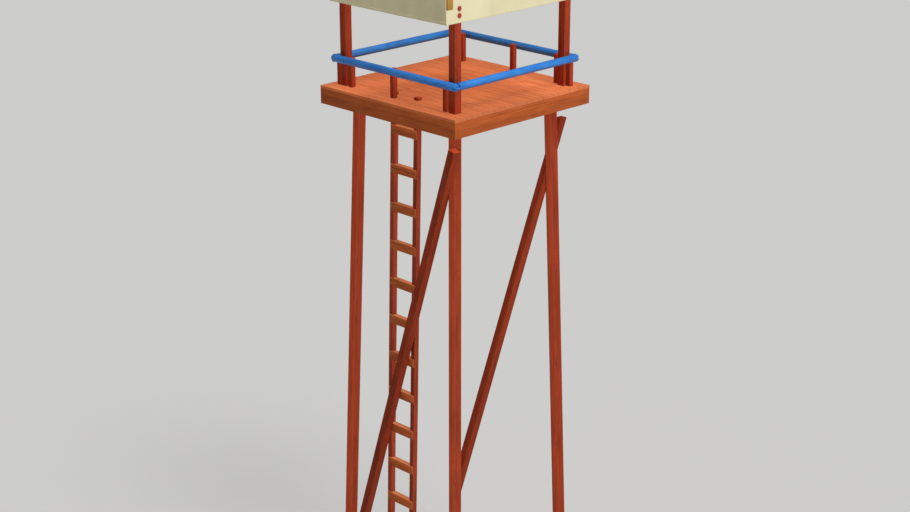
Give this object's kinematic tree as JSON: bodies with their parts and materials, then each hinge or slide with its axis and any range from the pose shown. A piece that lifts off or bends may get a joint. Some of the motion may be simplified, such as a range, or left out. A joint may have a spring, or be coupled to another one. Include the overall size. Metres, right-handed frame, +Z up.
{
  "type": "timber watchtower",
  "caption": "Timber watchtower: a boarded platform on four leaning square legs, with a ladder, diagonal braces, pole rails and a canvas canopy on posts.",
  "frame": {"origin": "on the ground, under the middle of the platform", "axes": "+Z up; the ladder is on the -Y side, the front, and +X is to the right seen from the front"},
  "size_m": [3.4, 3.4, 13.38],
  "materials": {
    "leg_timber": "red-brown stained heavy sawn timber",
    "post_timber": "red-brown stained sawn timber",
    "deck_timber": "orange-brown sawn boards",
    "rung_timber": "bare brown sawn timber",
    "rail_paint": "bright blue painted round timber",
    "beam_timber": "gold-brown sawn timber",
    "canvas": "cream heavy canvas"
  },
  "bodies": {
    "root": {"leg_front_left": "leg_timber", "leg_front_right": "leg_timber", "leg_back_right": "leg_timber", "leg_back_left": "leg_timber", "brace_front": "post_timber", "brace_right": "post_timber", "ladder_stile_left": "post_timber", "ladder_stile_right": "post_timber", "rung_01": "rung_timber", "rung_02": "rung_timber", "rung_03": "rung_timber", "rung_04": "rung_timber", "rung_05": "rung_timber", "rung_06": "rung_timber", "rung_07": "rung_timber", "rung_08": "rung_timber", "rung_09": "rung_timber", "rung_10": "rung_timber", "rung_11": "rung_timber", "rung_12": "rung_timber", "rung_13": "rung_timber", "rung_14": "rung_timber", "rim_front": "deck_timber", "rim_right": "deck_timber", "rim_back": "deck_timber", "rim_left": "deck_timber", "bearer_left": "deck_timber", "bearer_right": "deck_timber", "joist_left": "deck_timber", "joist_right": "deck_timber", "deck_boards": "deck_timber", "hatch_lid": "deck_timber", "post_front_left": "post_timber", "post_front_right": "post_timber", "post_back_right": "post_timber", "post_back_left": "post_timber", "rail_post_front_1": "post_timber", "rail_post_front_2": "post_timber", "rail_post_front_3": "post_timber", "rail_post_front_4": "post_timber", "rail_post_back_1": "post_timber", "rail_post_back_2": "post_timber", "rail_post_back_3": "post_timber", "rail_post_back_4": "post_timber", "rail_front": "rail_paint", "rail_right": "rail_paint", "rail_back": "rail_paint", "rail_left": "rail_paint", "plate_left": "beam_timber", "plate_right": "beam_timber", "cross_beam_front": "beam_timber", "cross_beam_back": "beam_timber", "hip_front_left": "beam_timber", "hip_front_right": "beam_timber", "hip_back_right": "beam_timber", "hip_back_left": "beam_timber", "canopy_front": "canvas", "canopy_right": "canvas", "canopy_back": "canvas", "canopy_left": "canvas"}
  },
  "joints": []
}
